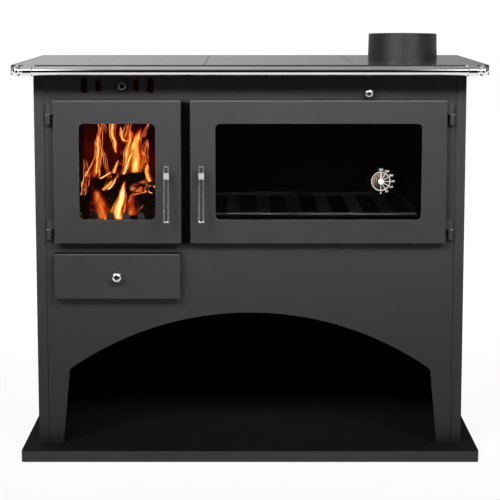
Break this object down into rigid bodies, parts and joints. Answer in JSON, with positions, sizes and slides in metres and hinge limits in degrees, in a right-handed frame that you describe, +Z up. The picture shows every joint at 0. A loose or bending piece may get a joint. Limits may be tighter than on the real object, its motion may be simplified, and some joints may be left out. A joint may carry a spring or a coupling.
{
  "type": "wood cookstove",
  "caption": "Free-standing wood-burning kitchen stove: glazed fire and oven doors, ash drawer, steel hob with lift-off lids, flue collar, towel rail and an arched wood store.",
  "frame": {"origin": "on the floor, under the middle of the stove's overall width and depth", "axes": "+X to the right as seen from the front, +Y to the back, +Z up"},
  "size_m": [0.998, 0.584, 0.9045],
  "materials": {
    "anthracite_paint": "matt powder coat",
    "back_steel": "matt black sheet",
    "flue_paint": "matt black heat-proof",
    "hob_steel": "ground hob steel",
    "chrome": "polished",
    "door_glass": "clear ceramic glass",
    "mild_steel": "plain hot-rolled",
    "oven_enamel": "gloss black enamel",
    "ash_steel": "galvanised",
    "cast_iron": "as cast",
    "firebrick": "fired clay",
    "seal_rope": "glass fibre rope",
    "dial_face": "matt black",
    "bimetal": "bare bimetal strip",
    "pointer_paint": "white",
    "zinc": "zinc plated"
  },
  "bodies": {
    "root": {"base_plate": "anthracite_paint", "side_panel_left": "anthracite_paint", "side_panel_right": "anthracite_paint", "front_rails": "anthracite_paint", "front_posts": "anthracite_paint", "arch_panel_left": "anthracite_paint", "arch_panel_right": "anthracite_paint", "back_panel": "back_steel", "back_screws": "zinc", "wood_store_roof": "back_steel", "hob_frame": "anthracite_paint", "hob_plate_left": "hob_steel", "hob_plate_middle": "hob_steel", "hob_plate_right": "hob_steel", "flue_collar": "flue_paint", "flue_collar_bolts": "zinc", "rail_tube": "chrome", "rail_fittings": "chrome", "ash_chamber": "mild_steel", "drawer_runners": "mild_steel", "firebox_shell": "mild_steel", "firebricks": "firebrick", "grate": "cast_iron", "log_guard": "cast_iron", "oven_box": "oven_enamel", "oven_runners": "oven_enamel", "smoke_floor": "mild_steel", "smoke_baffle": "mild_steel", "air_slide_guides": "mild_steel", "hinge_posts": "anthracite_paint", "hinge_washers": "chrome"},
    "fire_door": {"fire_door_frame": "anthracite_paint", "fire_door_seal": "seal_rope", "fire_door_glass": "door_glass", "fire_glass_clips": "mild_steel", "fire_door_knuckles": "anthracite_paint"},
    "fire_door_handle": {"fire_door_handle": "chrome", "fire_door_latch": "mild_steel"},
    "oven_door": {"oven_door_frame": "anthracite_paint", "oven_door_seal": "seal_rope", "oven_door_glass": "door_glass", "oven_glass_clips": "mild_steel", "oven_door_knuckles": "anthracite_paint", "thermometer_dial": "dial_face", "thermometer_coil": "bimetal"},
    "oven_door_handle": {"oven_door_handle": "chrome", "oven_door_latch": "mild_steel"},
    "thermometer_pointer": {"thermometer_pointer": "pointer_paint"},
    "ash_drawer": {"ash_drawer_front": "anthracite_paint", "ash_drawer_pan": "ash_steel", "ash_drawer_knob": "chrome"},
    "air_slide": {"air_slide": "mild_steel", "air_knob": "chrome"},
    "damper": {"damper": "mild_steel", "damper_knob": "chrome"},
    "cooking_ring": {"cooking_ring": "hob_steel"},
    "ring_lid": {"ring_lid": "hob_steel"},
    "cleaning_lid": {"cleaning_lid": "hob_steel"},
    "oven_tray": {"oven_tray": "oven_enamel", "oven_tray_rim": "chrome"}
  },
  "joints": [
    {"name": "fire_door_swing", "type": "hinge", "parent": "root", "child": "fire_door", "pos_m": [-0.429, -0.2135, 0.6215], "axis": [0, 0, -1], "range_deg": [0, 110]},
    {"name": "fire_handle_turn", "type": "hinge", "parent": "fire_door", "child": "fire_door_handle", "pos_m": [-0.177, -0.231, 0.615], "axis": [0, 1, 0], "range_deg": [0, 90]},
    {"name": "oven_door_swing", "type": "hinge", "parent": "root", "child": "oven_door", "pos_m": [0.429, -0.2135, 0.6215], "axis": [0, 0, 1], "range_deg": [0, 110]},
    {"name": "oven_handle_turn", "type": "hinge", "parent": "oven_door", "child": "oven_door_handle", "pos_m": [-0.103, -0.231, 0.615], "axis": [0, -1, 0], "range_deg": [0, 90]},
    {"name": "thermometer_pointer_turn", "type": "hinge", "parent": "oven_door", "child": "thermometer_pointer", "pos_m": [0.278, -0.232, 0.602], "axis": [0, 1, 0], "range_deg": [0, 180]},
    {"name": "ash_drawer_slide", "type": "slide", "parent": "root", "child": "ash_drawer", "axis": [0, -1, 0], "range_m": [0, 0.3]},
    {"name": "air_slide_travel", "type": "slide", "parent": "root", "child": "air_slide", "axis": [-1, 0, 0], "range_m": [0, 0.016]},
    {"name": "damper_pull", "type": "slide", "parent": "root", "child": "damper", "axis": [0, -1, 0], "range_m": [0, 0.06]},
    {"name": "cooking_ring_lift", "type": "slide", "parent": "root", "child": "cooking_ring", "axis": [0, 0, 1], "range_m": [0, 0.08]},
    {"name": "ring_lid_lift", "type": "slide", "parent": "cooking_ring", "child": "ring_lid", "axis": [0, 0, 1], "range_m": [0, 0.08]},
    {"name": "cleaning_lid_lift", "type": "slide", "parent": "root", "child": "cleaning_lid", "axis": [0, 0, 1], "range_m": [0, 0.08]},
    {"name": "oven_tray_slide", "type": "slide", "parent": "root", "child": "oven_tray", "axis": [0, -1, 0], "range_m": [0, 0.012]}
  ]
}
